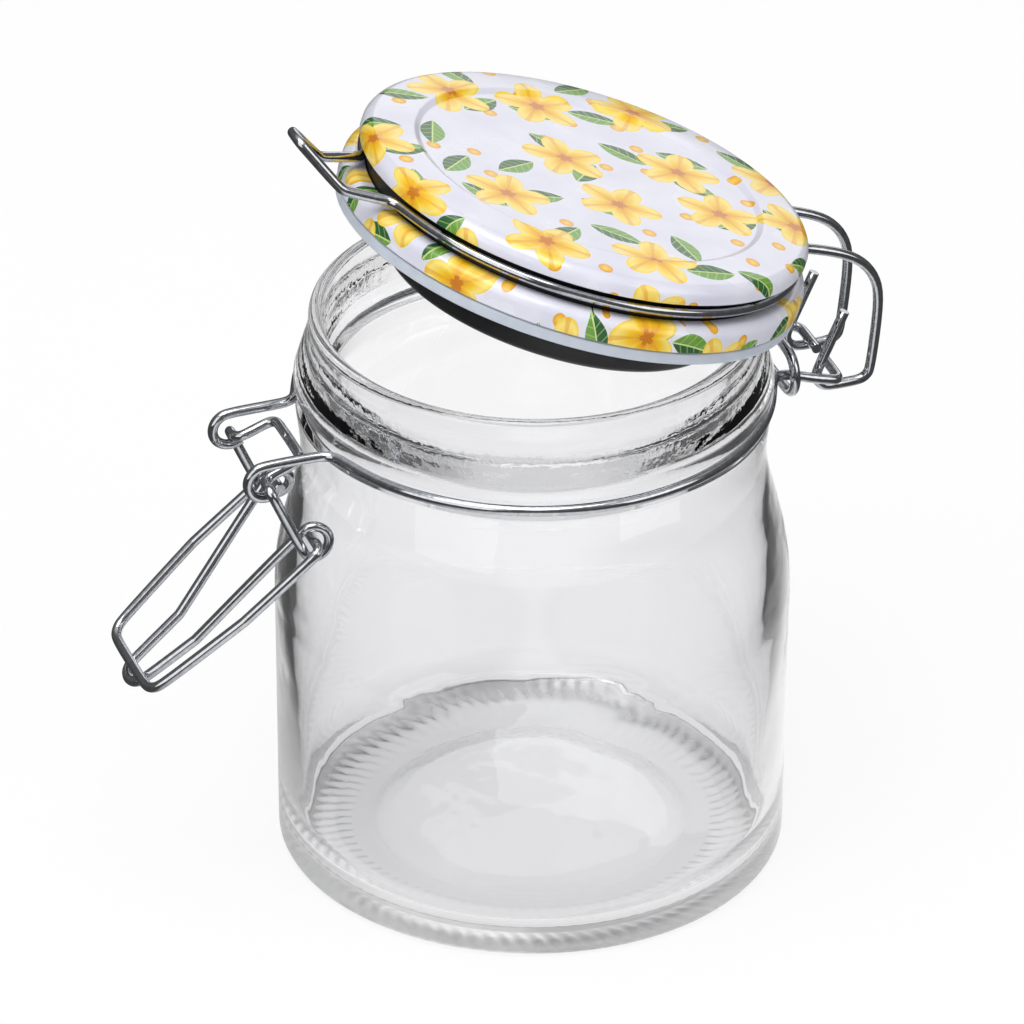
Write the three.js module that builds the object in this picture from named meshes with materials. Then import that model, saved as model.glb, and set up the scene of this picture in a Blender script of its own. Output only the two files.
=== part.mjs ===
// Clip-top storage jar: a glass jar with two neck wires, a lever clip and a printed lid held in a wire frame.
// Millimetres. The origin is the centre of the base, +Z is up, +X points to the hinge and -X to the clip.
import * as THREE from 'three';

// Clearances: pieces that rest on each other, and pieces that move past each other
const SEAT_GAP = 0.3;
const RUN_GAP = 0.35;

// Glass jar, with its neck measured down from the rim
const JAR_HEIGHT = 115.7;
const MOUTH_RADIUS = 40;
const RIM_WIDTH = 3.2;
const RIM_BEND = 1.4;
const LIP_HEIGHT = 4.2;
const LIP_BEND = 6;
const GROOVE_BELOW_RIM = 17.7;
const GROOVE_DEPTH = 1.7;
const GROOVE_FLARE = 1;
const BULGE_OVERHANG = 2.9;
const BULGE_HEIGHT = 1.4;
const COLLAR_INSET = 0.3;
const WAIST_BELOW_GROOVE = 13.7;
const WAIST_INSET = 1.4;
const WAIST_BEND = 25;
const SHOULDER_HEIGHT = 22.8;
const SHOULDER_BEND = 45;
const BODY_RADIUS = 50;
const BODY_DRAFT = 0.6;
const HEEL_RADIUS = 3;
const EDGE_BEND = 0.6;
const WALL = 4;
const BASE_THICKNESS = 5.6;
const INNER_HEEL_RADIUS = 6;
const FLOOR_INSET = 13.4;
const FLOOR_RISE = 1.4;
const FLOOR_RAMP = 2.8;

// Wire
const WIRE_DIAMETER = 2.1;
const WIRE_BEND = 2;
const WIDE_BEND = 4;
const BUTT_GAP = 0.3;

// Front eyes of the neck wires
const EYE_RADIUS = 3.55;
const EYE_REACH = 12.25;
const EYE_HALF = 10.5;
const EYE_END_ANGLE = 310;

// Rear bars, pins and tie link
const BAR_HALF = 11;
const PIN_REACH = 13.25;
const PIN_DROP = 3.7;
const PIN_END_HALF = 1.8;
const TIE_STANDOFF = 2.5;
const TIE_HALF_HEIGHT = 4.4;
const TIE_END_FLAT = 0.4;

// Lever
const PIVOT_SHIFT = 0.4;
const CROSSBAR_REACH = 8;
const CROSSBAR_RISE = 3.1;
const RING_RADIUS = 3;
const RING_STANDOFF = 4.05;
const RING_DROP = 13.35;
const RING_STEP = 2.6;
const HANDLE_LENGTH = 30.5;
const HANDLE_ANGLE = 50;
const KINK_HALF = 4.9;
const TIP_LENGTH = 15;
const TIP_ANGLE = 37;
const TIP_HALF = 3.2;
const TIP_BEND = 2.9;

// Catch
const CATCH_STRAIGHT = 20;
const CATCH_TIP_HALF = 12;
const CATCH_PIN_END = 1.6;

// Lid, stacked up from the foot of the gasket
const REST_TILT = 17.5;
const FOOT_HEIGHT = 2.35;
const FOOT_OVERHANG = 0.45;
const FOOT_BEND = 0.5;
const SEAL_HEIGHT = 5.3;
const SEAL_THICKNESS = 1.5;
const GASKET_WALL = 0.85;
const GASKET_BEND = 1.5;
const RIM_PLAY = 1.2;
const SKIRT_THICKNESS = 0.4;
const SKIRT_BEND = 1.7;
const CORE_INSET = 1.5;
const WIRE_PLAY_BELOW = 1.2;
const WIRE_PLAY_ABOVE = 1;
const COVER_OVERHANG = 1.3;
const COVER_THICKNESS = 0.6;
const COVER_HEIGHT = 3.5;
const COVER_BEND = 2.4;
const HEM_WIDTH = 1.5;
const RIDGE_INSET = 9.6;
const RIDGE_HEIGHT = 0.8;
const RIDGE_RAMP = 1.4;
const PANEL_RISE = 0.2;
const PLUG_PLAY = 1.7;
const PLUG_NECK_TAPER = 2.5;
const PLUG_TAPER = 2.3;
const PLUG_NECK_HEIGHT = 5.8;
const PLUG_DEPTH = 7;
const PLUG_BEND = 3;
const PLUG_RIM_WIDTH = 3.6;
const PLUG_RECESS = 3.4;

// Lid wire: bow at the front and hinge loops at the rear, which stand about the hinge axis
const BOW_HALF = 8.5;
const BOW_CROOK_REACH = 8.1;
const BOW_CROOK_HALF = 6.8;
const BOW_TIP_REACH = 17.4;
const BOW_TIP_RISE = 6.8;
const BOW_TIP_HALF = 2.6;
const BOW_TIP_BEND = 2.1;
const LATCH_REACH = 5.6;
const LOOP_HALF = 8;
const HINGE_ABOVE_PIN = 5.2;
const HINGE_BEFORE_PIN = 1;
const LEG_TOP_X = 4.8;
const LEG_FOOT_X = 9.9;
const LEG_FOOT_Z = -4.9;
const TAIL_FOOT_X = -2.1;
const TAIL_FOOT_Z = -8.8;
const TAIL_END_X = 0;
const TAIL_END_Z = 8.6;
const ARCH_BEND = 12;
const LOOP_BEND = 2.8;

// Fineness
const LATHE_SEGMENTS = 40;
const WIRE_SIDES = 8;
const BEND_STEP = 30;
const RING_STEP_ANGLE = 9;

// Places that follow from the sizes above: jar
const wireRadius = WIRE_DIAMETER / 2;
const rimRadius = MOUTH_RADIUS + RIM_WIDTH;
const bulgeRadius = rimRadius + BULGE_OVERHANG;
const collarRadius = bulgeRadius - COLLAR_INSET;
const waistRadius = collarRadius - WAIST_INSET;
const grooveFloor = bulgeRadius - GROOVE_DEPTH;
const grooveZ = JAR_HEIGHT - GROOVE_BELOW_RIM;
const waistZ = grooveZ - WAIST_BELOW_GROOVE;
const shoulderZ = waistZ - SHOULDER_HEIGHT;

// Neck wires, lever and hinge
const neckWireRadius = grooveFloor + SEAT_GAP + wireRadius;
const eyeX = -(neckWireRadius + EYE_REACH);
const eyeZ = grooveZ - EYE_RADIUS;
const pinX = neckWireRadius + PIN_REACH;
const pinZ = grooveZ - PIN_DROP;
const hingeX = pinX - HINGE_BEFORE_PIN;
const hingeZ = pinZ + HINGE_ABOVE_PIN;
const pivotX = eyeX + PIVOT_SHIFT;
const pivotZ = eyeZ - (EYE_RADIUS - WIRE_DIAMETER - RUN_GAP);
const legHalf = EYE_HALF - WIRE_DIAMETER - RUN_GAP;
const armHalf = EYE_HALF + WIRE_DIAMETER + RUN_GAP;
const leverRing = { x: -(waistRadius + RING_STANDOFF), z: pivotZ - RING_DROP };

// Lid, with heights above the foot of the gasket
const lidClosedZ = JAR_HEIGHT + SEAT_GAP - SEAL_HEIGHT;
const gasketInner = rimRadius + RIM_PLAY;
const gasketOuter = gasketInner + GASKET_WALL;
const gasketTop = SEAL_HEIGHT + SEAL_THICKNESS;
const skirtTop = gasketTop + SEAT_GAP + SKIRT_THICKNESS;
const coreRadius = rimRadius - CORE_INSET;
const lidWireRadius = coreRadius + RUN_GAP + wireRadius;
const lidWireZ = skirtTop + WIRE_PLAY_BELOW + wireRadius;
const coverRadius = lidWireRadius + COVER_OVERHANG;
const hemZ = lidWireZ + wireRadius + WIRE_PLAY_ABOVE;
const coverEdgeZ = hemZ + COVER_HEIGHT;
const panelZ = coverEdgeZ + PANEL_RISE;
const ridgeZ = panelZ + RIDGE_HEIGHT;
const ridgeRadius = coverRadius - RIDGE_INSET;
const panelRadius = ridgeRadius - RIDGE_RAMP;
const plugRadius = MOUTH_RADIUS - PLUG_PLAY;
const plugHole = plugRadius + SEAT_GAP;

const point = (x, y, z) => new THREE.Vector3(x, y, z);
const radians = THREE.MathUtils.degToRad;

// Points along a line of corners, each given as [x, y, z, bend radius], with the bends as arcs.
function bent(corners) {
  const places = corners.map(([x, y, z]) => point(x, y, z));
  const points = [];
  places.forEach((place, i) => {
    const bend = corners[i][3];
    if (!bend) {
      points.push(place);
      return;
    }
    const into = place.clone().sub(places[i - 1]).normalize();
    const out = places[i + 1].clone().sub(place).normalize();
    const turn = into.angleTo(out);
    const toCentre = out.clone().sub(into).normalize();
    const centre = place.clone().addScaledVector(toCentre, bend / Math.cos(turn / 2));
    const start = place.clone().addScaledVector(into, -bend * Math.tan(turn / 2)).sub(centre);
    const axis = into.clone().cross(out).normalize();
    const count = Math.max(2, Math.ceil(turn / radians(BEND_STEP)));
    for (let step = 0; step <= count; step += 1) {
      points.push(start.clone().applyAxisAngle(axis, (turn * step) / count).add(centre));
    }
  });
  return points;
}

// A turned solid from a profile of [radius, height, bend radius] corners.
function turned(profile) {
  const corners = profile.map(([radius, height, bend]) => [radius, height, 0, bend]);
  const outline = bent(corners).map(({ x, y }) => new THREE.Vector2(x, y));
  return new THREE.LatheGeometry(outline, LATHE_SEGMENTS).rotateX(Math.PI / 2);
}

// The centre line of a wire, taken point by point, so that bends are fine and straights are coarse.
class WirePath extends THREE.Curve {
  constructor(points) {
    super();
    this.points = points;
    this.last = points.length - 1;
  }

  getPointAt(share) {
    return this.points[Math.round(share * this.last)].clone();
  }

  getTangentAt(share) {
    const index = Math.round(share * this.last);
    const here = this.points[index];
    const tangent = point(0, 0, 0);
    if (index > 0) {
      tangent.add(here.clone().sub(this.points[index - 1]).normalize());
    }
    if (index < this.last) {
      tangent.add(this.points[index + 1].clone().sub(here).normalize());
    }
    return tangent.normalize();
  }
}

function wire(points) {
  const section = new THREE.Shape().absarc(0, 0, wireRadius, 0, 2 * Math.PI);
  return new THREE.ExtrudeGeometry(section, {
    steps: points.length - 1,
    curveSegments: WIRE_SIDES / 2,
    extrudePath: new WirePath(points),
    bevelEnabled: false,
  });
}

// Points on an arc in a plane facing along Y, with Y changing evenly along it.
function sideArc(centre, radius, fromAngle, toAngle, fromY, toY) {
  const count = Math.ceil(Math.abs(toAngle - fromAngle) / BEND_STEP);
  return Array.from({ length: count + 1 }, (unused, step) => {
    const share = step / count;
    const angle = radians(fromAngle + (toAngle - fromAngle) * share);
    const y = fromY + (toY - fromY) * share;
    return point(centre.x + radius * Math.cos(angle), y, centre.z + radius * Math.sin(angle));
  });
}

// The bend where a wire leaves a round groove towards +X, to run straight at a half width from the middle.
function grooveExit(ringRadius, half, z) {
  const reach = ringRadius + WIDE_BEND;
  const angle = Math.asin((half + WIDE_BEND) / reach);
  const x = reach * Math.cos(angle);
  const turn = Math.PI / 2 - angle;
  const count = Math.ceil(turn / radians(BEND_STEP));
  const points = Array.from({ length: count + 1 }, (unused, step) => {
    const heading = Math.PI + angle + (turn * step) / count;
    const y = half + WIDE_BEND + WIDE_BEND * Math.sin(heading);
    return point(x + WIDE_BEND * Math.cos(heading), y, z);
  });
  return { angle, points };
}

const mirroredX = (points) => points.map(({ x, y, z }) => point(-x, y, z));
const mirroredY = (points) => points.map(({ x, y, z }) => point(x, -y, z));
const reversed = (points) => points.slice().reverse();
const bothSides = (half) => [...reversed(mirroredY(half.slice(1))), ...half];

// The +Y half of a ring in a groove, from its front exit to its rear exit.
function grooveRun(ringRadius, frontHalf, rearHalf, z) {
  const front = grooveExit(ringRadius, frontHalf, z);
  const rear = grooveExit(ringRadius, rearHalf, z);
  const from = Math.PI - front.angle;
  const count = Math.ceil((from - rear.angle) / radians(RING_STEP_ANGLE));
  const arc = [];
  for (let step = 1; step < count; step += 1) {
    const angle = from + ((rear.angle - from) * step) / count;
    arc.push(point(ringRadius * Math.cos(angle), ringRadius * Math.sin(angle), z));
  }
  return [...reversed(mirroredX(front.points)), ...arc, ...rear.points];
}

function jarGeometry() {
  const grooveHalf = wireRadius + RUN_GAP / 2;
  const bulgeZ = grooveZ + grooveHalf + GROOVE_FLARE;
  const baseRadius = BODY_RADIUS - BODY_DRAFT;
  const floorRadius = baseRadius - WALL - FLOOR_INSET;
  const floorZ = BASE_THICKNESS + FLOOR_RISE;
  return turned([
    [0, 0],
    [baseRadius, 0, HEEL_RADIUS],
    [BODY_RADIUS, shoulderZ, SHOULDER_BEND],
    [waistRadius, waistZ, WAIST_BEND],
    [collarRadius, grooveZ - grooveHalf - GROOVE_FLARE, EDGE_BEND],
    [grooveFloor, grooveZ - grooveHalf, EDGE_BEND],
    [grooveFloor, grooveZ + grooveHalf, EDGE_BEND],
    [bulgeRadius, bulgeZ, EDGE_BEND],
    [bulgeRadius, bulgeZ + BULGE_HEIGHT, EDGE_BEND],
    [rimRadius, JAR_HEIGHT - LIP_HEIGHT, LIP_BEND],
    [rimRadius, JAR_HEIGHT, RIM_BEND],
    [MOUTH_RADIUS, JAR_HEIGHT, RIM_BEND],
    [waistRadius - WALL, waistZ, WAIST_BEND],
    [BODY_RADIUS - WALL, shoulderZ, SHOULDER_BEND],
    [baseRadius - WALL, BASE_THICKNESS, INNER_HEEL_RADIUS],
    [floorRadius, BASE_THICKNESS],
    [floorRadius - FLOOR_RAMP, floorZ],
    [0, floorZ],
  ]);
}

function neckWireHalf() {
  const eye = { x: eyeX, z: eyeZ };
  const pins = bent([
    [pinX - PIN_REACH / 2, BAR_HALF, grooveZ - PIN_DROP / 2],
    [pinX, BAR_HALF, pinZ, WIRE_BEND],
    [pinX, PIN_END_HALF, pinZ],
  ]);
  return [
    ...sideArc(eye, EYE_RADIUS, EYE_END_ANGLE, 90, EYE_HALF, EYE_HALF),
    ...grooveRun(neckWireRadius, EYE_HALF, BAR_HALF, grooveZ),
    ...pins,
  ];
}

// An oval ring round both rear bars, with its ends butted under the middle.
function tieLinkPoints() {
  const x = bulgeRadius + TIE_STANDOFF;
  const barStart = grooveExit(neckWireRadius, BAR_HALF, grooveZ).points.at(-1).x;
  const barSlope = PIN_DROP / (pinX - barStart);
  const z = grooveZ - barSlope * (x - barStart);
  const end = BAR_HALF + WIRE_DIAMETER + SEAT_GAP;
  const endBend = TIE_HALF_HEIGHT - TIE_END_FLAT / 2;
  const half = bent([
    [x, 0, z + TIE_HALF_HEIGHT],
    [x, end, z + TIE_HALF_HEIGHT, endBend],
    [x, end, z - TIE_HALF_HEIGHT, endBend],
    [x, BUTT_GAP / 2, z - TIE_HALF_HEIGHT],
  ]);
  return bothSides(half);
}

const handleStart = {
  x: leverRing.x - RING_RADIUS * Math.sin(radians(HANDLE_ANGLE)),
  z: leverRing.z + RING_RADIUS * Math.cos(radians(HANDLE_ANGLE)),
};
const kink = {
  x: handleStart.x - HANDLE_LENGTH * Math.cos(radians(HANDLE_ANGLE)),
  z: handleStart.z - HANDLE_LENGTH * Math.sin(radians(HANDLE_ANGLE)),
};
const tip = {
  x: kink.x - TIP_LENGTH * Math.cos(radians(TIP_ANGLE)),
  z: kink.z - TIP_LENGTH * Math.sin(radians(TIP_ANGLE)),
};

// One side of the lever, from the tip of its handle round the ring and the eye to the butted crossbar.
function leverHalf() {
  const handleHalf = armHalf - RING_STEP;
  const toPivot = Math.atan2(pivotZ - leverRing.z, pivotX - leverRing.x);
  const away = Math.acos(RING_RADIUS / Math.hypot(pivotX - leverRing.x, pivotZ - leverRing.z));
  const armStart = THREE.MathUtils.radToDeg(toPivot + away) - 360;
  const crossbarX = pivotX + CROSSBAR_REACH;
  const crossbarZ = pivotZ + CROSSBAR_RISE;
  const turns = sideArc(leverRing, RING_RADIUS, 90 + HANDLE_ANGLE, armStart, handleHalf, armHalf);
  const handle = bent([
    [tip.x, 0, tip.z],
    [tip.x, TIP_HALF, tip.z, TIP_BEND],
    [kink.x, KINK_HALF, kink.z, WIDE_BEND],
    [handleStart.x, handleHalf, handleStart.z],
  ]);
  const crank = bent([
    turns.at(-1).toArray(),
    [pivotX, armHalf, pivotZ, WIRE_BEND],
    [pivotX, legHalf, pivotZ, WIRE_BEND],
    [crossbarX, legHalf, crossbarZ, WIRE_BEND],
    [crossbarX, BUTT_GAP / 2, crossbarZ],
  ]);
  return [...handle, ...turns.slice(1), ...crank.slice(1)];
}

// The catch lies on the tip of the handle. Its length lets it hook over the closed lid's bow.
function catchHalf() {
  const latchX = -(coverRadius + LATCH_REACH);
  const latchZ = lidClosedZ + lidWireZ + WIRE_DIAMETER + RUN_GAP;
  const length = Math.hypot(latchX - leverRing.x, latchZ - leverRing.z);
  const above = radians(90 + TIP_ANGLE);
  const normal = { x: Math.cos(above), z: Math.sin(above) };
  const leverRingHeight = normal.x * (leverRing.x - kink.x) + normal.z * (leverRing.z - kink.z);
  const heading = above + Math.acos((WIRE_DIAMETER + RUN_GAP - leverRingHeight) / length);
  const along = (distance) => ({
    x: leverRing.x + distance * Math.cos(heading),
    z: leverRing.z + distance * Math.sin(heading),
  });
  const end = along(length);
  const straight = along(CATCH_STRAIGHT);
  const sideHalf = armHalf + WIRE_DIAMETER + RUN_GAP;
  const pinEnd = armHalf - RING_STEP - CATCH_PIN_END;
  return bent([
    [end.x, 0, end.z],
    [end.x, CATCH_TIP_HALF, end.z, WIDE_BEND],
    [straight.x, sideHalf, straight.z, WIDE_BEND],
    [leverRing.x, sideHalf, leverRing.z, WIRE_BEND],
    [leverRing.x, pinEnd, leverRing.z],
  ]);
}

// The lid wire in the closed lid's frame: bow, groove and one hinge loop.
function lidWireHalf() {
  const z = lidWireZ;
  const run = grooveRun(lidWireRadius, BOW_HALF, LOOP_HALF, z);
  const bow = bent([
    [-(coverRadius + BOW_TIP_REACH), 0, z + BOW_TIP_RISE],
    [-(coverRadius + BOW_TIP_REACH), BOW_TIP_HALF, z + BOW_TIP_RISE, BOW_TIP_BEND],
    [-(coverRadius + BOW_CROOK_REACH), BOW_CROOK_HALF, z, WIDE_BEND],
    run[0].toArray(),
  ]);
  const loopX = (x) => hingeX + x;
  const loopZ = (height) => hingeZ - lidClosedZ + height;
  const loop = bent([
    run.at(-1).toArray(),
    [loopX(LEG_TOP_X), LOOP_HALF, z, ARCH_BEND],
    [loopX(LEG_FOOT_X), LOOP_HALF, loopZ(LEG_FOOT_Z), LOOP_BEND],
    [loopX(TAIL_FOOT_X), LOOP_HALF, loopZ(TAIL_FOOT_Z), LOOP_BEND],
    [loopX(TAIL_END_X), LOOP_HALF, loopZ(TAIL_END_Z)],
  ]);
  return [...bow, ...run.slice(1), ...loop.slice(1)];
}

function gasketGeometry() {
  const footRadius = gasketOuter + FOOT_OVERHANG;
  return turned([
    [plugHole, SEAL_HEIGHT],
    [gasketInner, SEAL_HEIGHT],
    [gasketInner, 0],
    [footRadius, 0, FOOT_BEND],
    [footRadius, FOOT_HEIGHT, FOOT_BEND / 2],
    [gasketOuter, FOOT_HEIGHT],
    [gasketOuter, gasketTop, GASKET_BEND],
    [plugHole, gasketTop],
    [plugHole, SEAL_HEIGHT],
  ]);
}

function skirtGeometry() {
  const inner = gasketOuter + SEAT_GAP;
  const outer = inner + SKIRT_THICKNESS;
  const low = FOOT_HEIGHT + SEAT_GAP;
  const under = skirtTop - SKIRT_THICKNESS;
  const edge = coreRadius + SEAT_GAP;
  return turned([
    [inner, low],
    [outer, low],
    [outer, skirtTop, SKIRT_BEND + SKIRT_THICKNESS],
    [edge, skirtTop],
    [edge, under],
    [inner, under, SKIRT_BEND],
    [inner, low],
  ]);
}

function coreGeometry() {
  const under = COVER_THICKNESS + SEAT_GAP;
  const flangeRadius = coverRadius - under;
  const flangeZ = hemZ + under;
  const neckFoot = SEAL_HEIGHT - PLUG_NECK_HEIGHT;
  const plugFoot = neckFoot - PLUG_DEPTH;
  const neckRadius = plugRadius - PLUG_NECK_TAPER;
  const footRadius = neckRadius - PLUG_TAPER;
  const recessRadius = footRadius - PLUG_RIM_WIDTH;
  return turned([
    [0, plugFoot + PLUG_RECESS],
    [recessRadius, plugFoot + PLUG_RECESS],
    [recessRadius, plugFoot],
    [footRadius, plugFoot, PLUG_BEND],
    [neckRadius, neckFoot],
    [plugRadius, SEAL_HEIGHT - SEAT_GAP],
    [plugRadius, gasketTop + SEAT_GAP],
    [coreRadius, gasketTop + SEAT_GAP],
    [coreRadius, flangeZ],
    [flangeRadius, flangeZ],
    [flangeRadius, coverEdgeZ - under, COVER_BEND - under],
    [ridgeRadius, ridgeZ - under],
    [panelRadius, panelZ - under],
    [0, panelZ - under],
  ]);
}

function coverGeometry() {
  const inner = coverRadius - COVER_THICKNESS;
  const hemRadius = coverRadius - HEM_WIDTH;
  return turned([
    [0, panelZ - COVER_THICKNESS],
    [panelRadius, panelZ - COVER_THICKNESS],
    [ridgeRadius, ridgeZ - COVER_THICKNESS],
    [inner, coverEdgeZ - COVER_THICKNESS, COVER_BEND - COVER_THICKNESS],
    [inner, hemZ + COVER_THICKNESS],
    [hemRadius, hemZ + COVER_THICKNESS],
    [hemRadius, hemZ],
    [coverRadius, hemZ, EDGE_BEND],
    [coverRadius, coverEdgeZ, COVER_BEND],
    [ridgeRadius, ridgeZ],
    [panelRadius, panelZ],
    [0, panelZ],
  ]);
}

// From the closed lid's frame to the half-open pose: down to the hinge, tilted, and back.
const lidPlacement = new THREE.Matrix4()
  .makeTranslation(hingeX, 0, hingeZ)
  .multiply(new THREE.Matrix4().makeRotationY(radians(REST_TILT)))
  .multiply(new THREE.Matrix4().makeTranslation(-hingeX, 0, lidClosedZ - hingeZ));

const steel = () => new THREE.MeshStandardMaterial({ color: '#c9ccd0', metalness: 1, roughness: 0.25 });
const tin = () => new THREE.MeshStandardMaterial({ color: '#e8e6f2', metalness: 0.1, roughness: 0.3 });
const glass = new THREE.MeshStandardMaterial({ color: '#dfe9ea', roughness: 0.05 });
const black = new THREE.MeshStandardMaterial({ color: '#141414', roughness: 0.5 });
const silicone = new THREE.MeshStandardMaterial({ color: '#dfe3ee', roughness: 0.5 });

const jar = new THREE.Group();
jar.name = 'clip_top_jar';

function add(name, geometry, material) {
  const mesh = new THREE.Mesh(geometry, material);
  mesh.name = name;
  jar.add(mesh);
}

const neckHalf = neckWireHalf();
add('glass_jar', jarGeometry(), glass);
add('neck_wire_left', wire(neckHalf), steel());
add('neck_wire_right', wire(mirroredY(neckHalf)), steel());
add('rear_tie_link', wire(tieLinkPoints()), steel());
add('lever_wire', wire(bothSides(leverHalf())), steel());
add('catch_wire', wire(bothSides(catchHalf())), steel());
add('lid_wire', wire(bothSides(lidWireHalf())).applyMatrix4(lidPlacement), steel());
add('lid_cover', coverGeometry().applyMatrix4(lidPlacement), tin());
add('lid_core', coreGeometry().applyMatrix4(lidPlacement), black);
add('lid_skirt', skirtGeometry().applyMatrix4(lidPlacement), tin());
add('gasket', gasketGeometry().applyMatrix4(lidPlacement), silicone);

export default jar;
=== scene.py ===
# %% [markdown]
# # A clip-top storage jar
#
# A pressed glass jar is closed by a printed tin lid. One wire holds the lid in its groove and hooks on
# two pins at the back, and a bent lever with a catch pulls the lid down at the front. The solids come
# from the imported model, in metres, with +X towards the hinge and -X towards the clip. This lesson gives
# each of them a finer shape and the finish of its real material.

# %% Load the frame
import math

import bmesh
import bpy
from mathutils import Matrix, Quaternion, Vector


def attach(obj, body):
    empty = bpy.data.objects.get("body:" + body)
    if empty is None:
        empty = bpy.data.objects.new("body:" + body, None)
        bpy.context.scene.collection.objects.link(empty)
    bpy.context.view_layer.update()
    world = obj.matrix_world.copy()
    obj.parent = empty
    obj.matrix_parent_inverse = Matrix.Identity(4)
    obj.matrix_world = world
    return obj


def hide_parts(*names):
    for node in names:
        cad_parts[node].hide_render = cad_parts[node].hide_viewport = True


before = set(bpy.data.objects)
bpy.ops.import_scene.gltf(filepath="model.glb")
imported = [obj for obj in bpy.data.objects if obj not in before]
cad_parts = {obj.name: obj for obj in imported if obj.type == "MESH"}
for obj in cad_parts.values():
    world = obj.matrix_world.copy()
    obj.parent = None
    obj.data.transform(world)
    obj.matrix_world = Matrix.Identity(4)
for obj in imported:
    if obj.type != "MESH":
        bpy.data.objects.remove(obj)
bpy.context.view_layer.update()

# %% Units and colours
MM = 0.001


def from_hex(code):
    """The linear colour of an sRGB hex value."""
    channels = [int(code[start:start + 2], 16) / 255 for start in (1, 3, 5)]
    linear = [c / 12.92 if c <= 0.04045 else ((c + 0.055) / 1.055) ** 2.4 for c in channels]
    return (*linear, 1.0)


print("Mid grey in linear light:", from_hex("#808080"))

# %% [markdown]
# ## Camera
#
# The camera stands about two metres away with a long lens, with the clip to the left of the picture and
# the hinge to the right, and looks down at about 31 degrees. A short lens close by would swell the near
# side of the jar. The place comes from fitting the outlines of the rim, the body and the lid, and it
# includes a slight roll.

# %% Camera
CAMERA_PLACE = Vector((-588.5, -1597.3, 1101.9)) * MM
CAMERA_TARGET = Vector((-3.79, 1.38, 70.17)) * MM
CAMERA_ROLL = math.radians(0.38)
FOCAL_PIXELS = 10310
IMAGE_PIXELS = 1024

camera_data = bpy.data.cameras.new("studio_camera")
camera_data.sensor_width = 36
camera_data.lens = FOCAL_PIXELS / IMAGE_PIXELS * camera_data.sensor_width
camera = bpy.data.objects.new("studio_camera", camera_data)
bpy.context.scene.collection.objects.link(camera)
aim = (CAMERA_TARGET - CAMERA_PLACE).to_track_quat("-Z", "Y")
camera.location = CAMERA_PLACE
camera.rotation_euler = (aim @ Quaternion((0, 0, 1), CAMERA_ROLL)).to_euler()
bpy.context.scene.camera = camera
print("Lens in mm:", round(camera_data.lens, 1))

# %% [markdown]
# ## Turned pieces
#
# The jar, the lid's cover, core and skirt and the gasket are all round. Each could be built up from a
# cylinder by scaling its rings, but half a section drawn as a chain of points and spun round the axis
# keeps every height and radius to the drawing. A corner's bend is a vertex bevel, whose width is the
# bend's radius times the tangent of half the turn.

# %% Draw half a section
ARC_STEP = math.radians(7)
SAME_CORNER = 0.01 * MM


def clear_selection():
    """Leaves edit mode and selects nothing."""
    if bpy.context.object and bpy.context.object.mode != "OBJECT":
        bpy.ops.object.mode_set(mode="OBJECT")
    bpy.ops.object.select_all(action="DESELECT")


def select_vertices(piece, wanted):
    """In edit mode, selects the vertices that a test of their place picks."""
    mesh = bmesh.from_edit_mesh(piece.data)
    for vertex in mesh.verts:
        vertex.select_set(wanted(vertex.co))
    mesh.select_flush_mode()
    bmesh.update_edit_mesh(piece.data)


def draw_section(name, corners):
    """A chain of vertices through corners of (radius, height) or (radius, height, bend), in millimetres."""
    clear_selection()
    bpy.ops.mesh.primitive_plane_add(size=MM)
    section = bpy.context.object
    section.name = section.data.name = name
    bpy.ops.object.mode_set(mode="EDIT")
    bpy.ops.mesh.merge(type="CENTER")
    places = [Vector((corner[0], 0, corner[1])) * MM for corner in corners]
    bpy.ops.transform.translate(value=places[0])
    for here, there in zip(places, places[1:]):
        bpy.ops.mesh.extrude_vertices_move(TRANSFORM_OT_translate={"value": there - here})
    for before, corner, here, after in zip(places, corners[1:], places[1:], places[2:]):
        if len(corner) < 3:
            continue
        turn = (here - before).angle(after - here)
        select_vertices(section, lambda co: (co - here).length < SAME_CORNER)
        bpy.ops.mesh.bevel(
            offset=corner[2] * MM * math.tan(turn / 2),
            segments=max(2, round(turn / ARC_STEP)),
            profile=0.5,
            affect="VERTICES",
            clamp_overlap=False,
        )
    return section


# %% Spin a section into a solid
SAME_PLACE = 0.005 * MM


def divide_long_edges(section, longest):
    """Cuts the edges of a section that are longer than a length in millimetres."""
    mesh = bmesh.from_edit_mesh(section.data)
    for edge in [edge for edge in mesh.edges if edge.calc_length() > longest * MM]:
        bmesh.ops.subdivide_edges(mesh, edges=[edge], cuts=int(edge.calc_length() / (longest * MM)))
    bmesh.update_edit_mesh(section.data)


def spin_section(section, steps):
    """Spins a drawn section once round the upright axis and closes its seam and poles."""
    bpy.ops.mesh.select_all(action="SELECT")
    bpy.ops.mesh.spin(steps=steps, angle=2 * math.pi, center=(0, 0, 0), axis=(0, 0, 1))
    bpy.ops.mesh.select_all(action="SELECT")
    bpy.ops.mesh.remove_doubles(threshold=SAME_PLACE)
    bpy.ops.mesh.normals_make_consistent(inside=False)
    bpy.ops.object.mode_set(mode="OBJECT")


def smooth_faces(piece, degrees):
    """Shades a piece smooth, apart from edges sharper than an angle."""
    clear_selection()
    piece.select_set(True)
    bpy.context.view_layer.objects.active = piece
    bpy.ops.object.shade_smooth_by_angle(angle=math.radians(degrees))


def describe(piece):
    """Prints a piece's triangles and its corners in millimetres."""
    places = [vertex.co / MM for vertex in piece.data.vertices]
    low = [round(min(place[axis] for place in places), 2) for axis in range(3)]
    high = [round(max(place[axis] for place in places), 2) for axis in range(3)]
    piece.data.calc_loop_triangles()
    print(f"{piece.name}: {len(piece.data.loop_triangles)} triangles, from {low} to {high} mm")


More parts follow.
